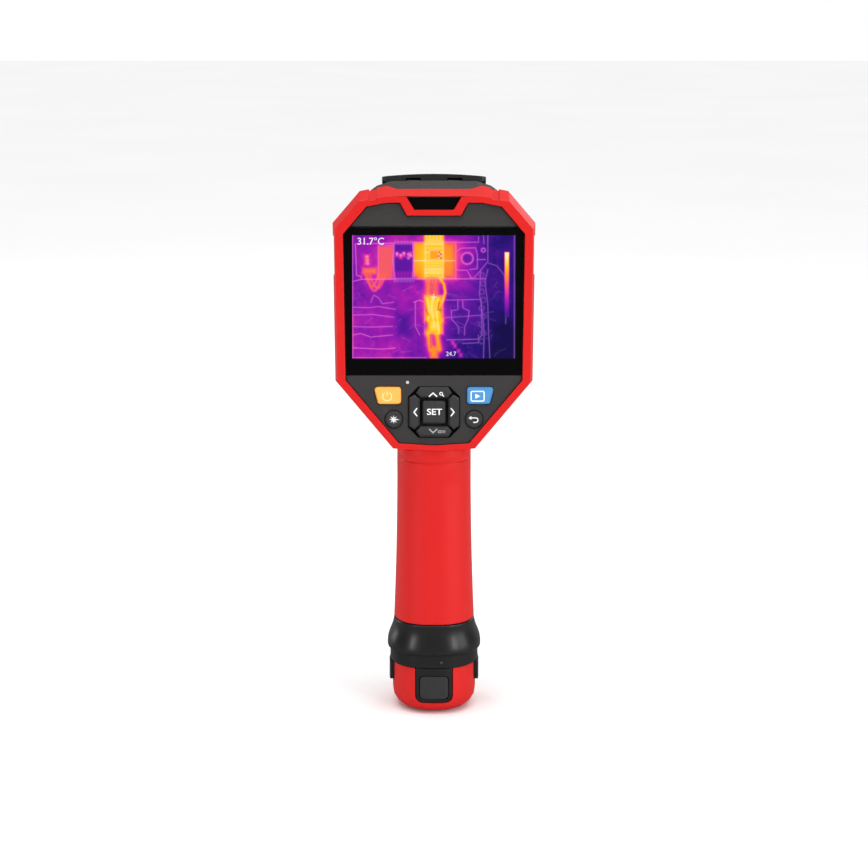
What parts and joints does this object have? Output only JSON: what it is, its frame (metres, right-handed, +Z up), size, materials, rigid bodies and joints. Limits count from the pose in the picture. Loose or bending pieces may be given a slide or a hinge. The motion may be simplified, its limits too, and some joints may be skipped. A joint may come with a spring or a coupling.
{
  "type": "handheld thermal imaging camera",
  "caption": "Pistol-grip thermal imager: tilted display head with keypad, lens turret with flip-up cover, trigger, and a slide-out battery as its foot.",
  "frame": {"origin": "centre of the battery base's flat foot, on the surface the camera stands on", "axes": "+Z up along the grip, +Y from the user towards the target, +X to the user's right"},
  "size_m": [0.0886, 0.1197, 0.2348],
  "materials": {
    "red_shell": "fine-textured red overmould",
    "charcoal_shell": "fine-textured dark grey moulding",
    "black_shell": "satin black moulding",
    "black_rubber": "matt black silicone",
    "black_glass": "polished black window",
    "orange_key": "satin orange silicone",
    "blue_key": "satin blue silicone",
    "circuit_board": "green solder mask",
    "steel": "plated steel",
    "germanium": "coated germanium",
    "clear_lens": "clear polycarbonate light pipe",
    "cell_wrap": "blue heat-shrink sleeve"
  },
  "bodies": {
    "camera_body": {"rear_housing": "charcoal_shell", "head_bumper": "red_shell", "badge_plate": "black_glass", "display_glass": "black_glass", "lcd_module": "steel", "keypad_membrane": "black_rubber", "keypad_board": "circuit_board", "main_board": "circuit_board", "housing_seal": "black_rubber", "status_led": "clear_lens", "lens_bezel": "black_shell", "lens_barrel": "black_shell", "germanium_lens": "germanium", "lens_ring": "steel", "shutter_housing": "black_shell", "sensor_module": "steel", "sensor_board": "circuit_board", "camera_window": "black_glass", "camera_module": "black_shell", "lamp_lens": "clear_lens", "laser_module": "steel", "cover_pin": "steel", "front_housing": "charcoal_shell", "grip_rear_shell": "red_shell", "grip_front_shell": "charcoal_shell", "collar_ring": "black_shell", "charge_led": "clear_lens", "trigger_bracket": "steel", "trigger_pin": "steel", "trigger_spring": "steel", "trigger_switch": "black_shell", "battery_socket": "black_shell", "head_screw_1": "steel", "head_screw_2": "steel", "head_screw_3": "steel", "head_screw_4": "steel", "grip_screw_1": "steel", "grip_screw_2": "steel"},
    "lens_cover": {"lens_cover": "black_shell"},
    "shutter_flag": {"shutter_flag": "steel"},
    "trigger": {"trigger": "red_shell"},
    "battery_pack": {"battery_base": "red_shell", "battery_case": "black_shell", "battery_cell": "cell_wrap", "battery_terminals": "steel", "port_panel": "black_shell", "usb_socket": "steel"},
    "port_flap": {"port_flap": "black_rubber"},
    "latch_left": {"latch_left": "black_shell"},
    "latch_right": {"latch_right": "black_shell"},
    "power_button": {"power_button": "orange_key"},
    "playback_button": {"playback_button": "blue_key"},
    "lamp_button": {"lamp_button": "black_rubber"},
    "back_button": {"back_button": "black_rubber"},
    "set_button": {"set_button": "black_rubber"},
    "up_button": {"up_button": "black_rubber"},
    "left_button": {"left_button": "black_rubber"},
    "down_button": {"down_button": "black_rubber"},
    "right_button": {"right_button": "black_rubber"}
  },
  "joints": [
    {"name": "lens_cover_hinge", "type": "hinge", "parent": "camera_body", "child": "lens_cover", "pos_m": [0, 0.0458, 0.23013], "axis": [-1, 0, 0], "range_deg": [0, 77]},
    {"name": "shutter_hinge", "type": "hinge", "parent": "camera_body", "child": "shutter_flag", "pos_m": [0.0095, 0.018, 0.20143], "axis": [0, -1, 0], "range_deg": [0, 60]},
    {"name": "trigger_pull", "type": "hinge", "parent": "camera_body", "child": "trigger", "pos_m": [0, 0.0112, 0.1128], "axis": [-1, 0, 0], "range_deg": [0, 7], "stiffness_Nm_per_rad": 0.2, "deforming": ["trigger_spring"]},
    {"name": "battery_slide", "type": "slide", "parent": "camera_body", "child": "battery_pack", "axis": [0, 0, -1], "range_m": [0, 0.08]},
    {"name": "port_flap_hinge", "type": "hinge", "parent": "battery_pack", "child": "port_flap", "pos_m": [0, -0.0201, 0.0075], "axis": [1, 0, 0], "range_deg": [0, 80]},
    {"name": "latch_left_press", "type": "slide", "parent": "battery_pack", "child": "latch_left", "axis": [1, 0, 0], "range_m": [0, 0.0012], "stiffness_N_per_m": 900},
    {"name": "latch_right_press", "type": "slide", "parent": "battery_pack", "child": "latch_right", "axis": [-1, 0, 0], "range_m": [0, 0.0012], "stiffness_N_per_m": 900},
    {"name": "power_press", "type": "slide", "parent": "camera_body", "child": "power_button", "axis": [0, 0.9848, -0.1736], "range_m": [0, 0.0008], "stiffness_N_per_m": 400},
    {"name": "playback_press", "type": "slide", "parent": "camera_body", "child": "playback_button", "axis": [0, 0.9848, -0.1736], "range_m": [0, 0.0008], "stiffness_N_per_m": 400},
    {"name": "lamp_press", "type": "slide", "parent": "camera_body", "child": "lamp_button", "axis": [0, 0.9848, -0.1736], "range_m": [0, 0.0008], "stiffness_N_per_m": 400},
    {"name": "back_press", "type": "slide", "parent": "camera_body", "child": "back_button", "axis": [0, 0.9848, -0.1736], "range_m": [0, 0.0008], "stiffness_N_per_m": 400},
    {"name": "set_press", "type": "slide", "parent": "camera_body", "child": "set_button", "axis": [0, 0.9848, -0.1736], "range_m": [0, 0.0008], "stiffness_N_per_m": 400},
    {"name": "up_press", "type": "slide", "parent": "camera_body", "child": "up_button", "axis": [0, 0.9848, -0.1736], "range_m": [0, 0.0008], "stiffness_N_per_m": 400},
    {"name": "left_press", "type": "slide", "parent": "camera_body", "child": "left_button", "axis": [0, 0.9848, -0.1736], "range_m": [0, 0.0008], "stiffness_N_per_m": 400},
    {"name": "down_press", "type": "slide", "parent": "camera_body", "child": "down_button", "axis": [0, 0.9848, -0.1736], "range_m": [0, 0.0008], "stiffness_N_per_m": 400},
    {"name": "right_press", "type": "slide", "parent": "camera_body", "child": "right_button", "axis": [0, 0.9848, -0.1736], "range_m": [0, 0.0008], "stiffness_N_per_m": 400}
  ]
}
